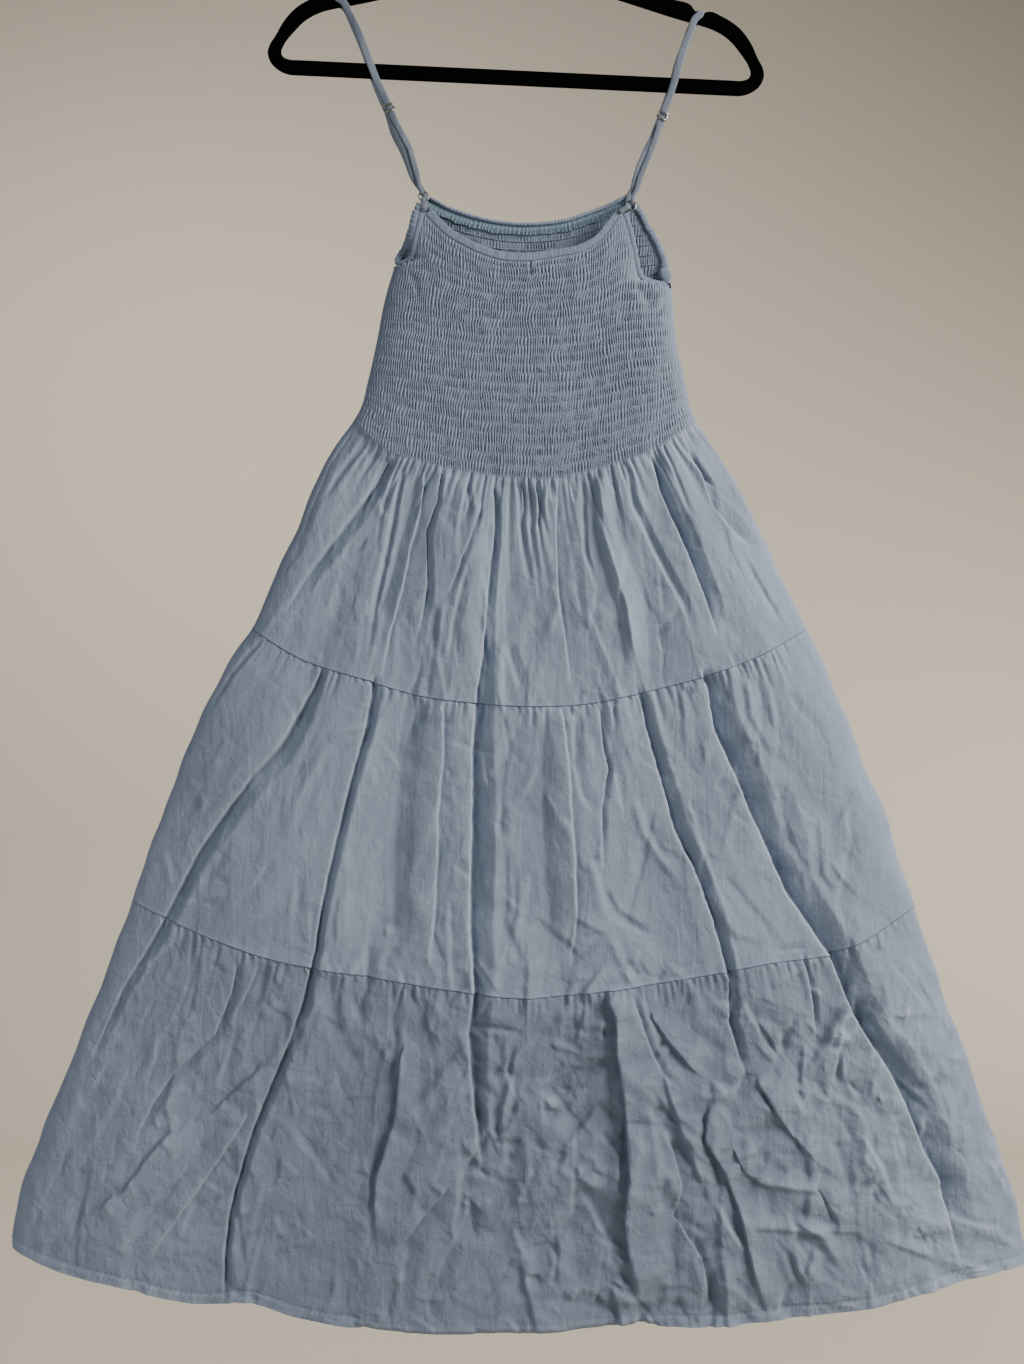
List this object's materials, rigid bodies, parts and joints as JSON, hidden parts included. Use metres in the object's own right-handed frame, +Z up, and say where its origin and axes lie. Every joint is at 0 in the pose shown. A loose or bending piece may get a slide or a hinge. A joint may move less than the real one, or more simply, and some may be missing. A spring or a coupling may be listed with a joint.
{
  "type": "sundress on a hanger",
  "caption": "Long sleeveless sundress with a shirred bodice, gathered tiers and thin straps on metal rings, hung flat on a flocked hanger with a wire hook.",
  "frame": {"origin": "the inside top of the hanger's hook, where it rests on a rail", "axes": "+Z up, the hung dress below the origin; -Y out of the front of the dress; +X to the viewer's right when its front is seen"},
  "size_m": [0.9124, 0.0447, 1.3461],
  "materials": {
    "dress_cloth": "matte crinkled weave",
    "bound_edge": "matte folded binding",
    "overlocked_band": "matte weave with an overlocked edge",
    "strap_cloth": "matte turned tube of cloth",
    "trim_metal": "plated, slightly worn",
    "hanger_velvet": "black flock over a plastic core",
    "hook_metal": "bright plated wire"
  },
  "bodies": {
    "root": {"armhole_binding_left": "bound_edge", "armhole_binding_right": "bound_edge", "hanger_body": "hanger_velvet", "hanger_hook": "hook_metal", "lower_tier_back": "dress_cloth", "lower_tier_front": "dress_cloth", "middle_tier_back": "dress_cloth", "middle_tier_front": "dress_cloth", "neck_band_back": "overlocked_band", "neck_band_front": "bound_edge", "ring_left": "trim_metal", "ring_right": "trim_metal", "slider_left": "trim_metal", "slider_right": "trim_metal", "strap_left": "strap_cloth", "strap_right": "strap_cloth", "tab_left": "strap_cloth", "tab_right": "strap_cloth", "upper_back": "dress_cloth", "upper_front": "dress_cloth"}
  },
  "joints": []
}
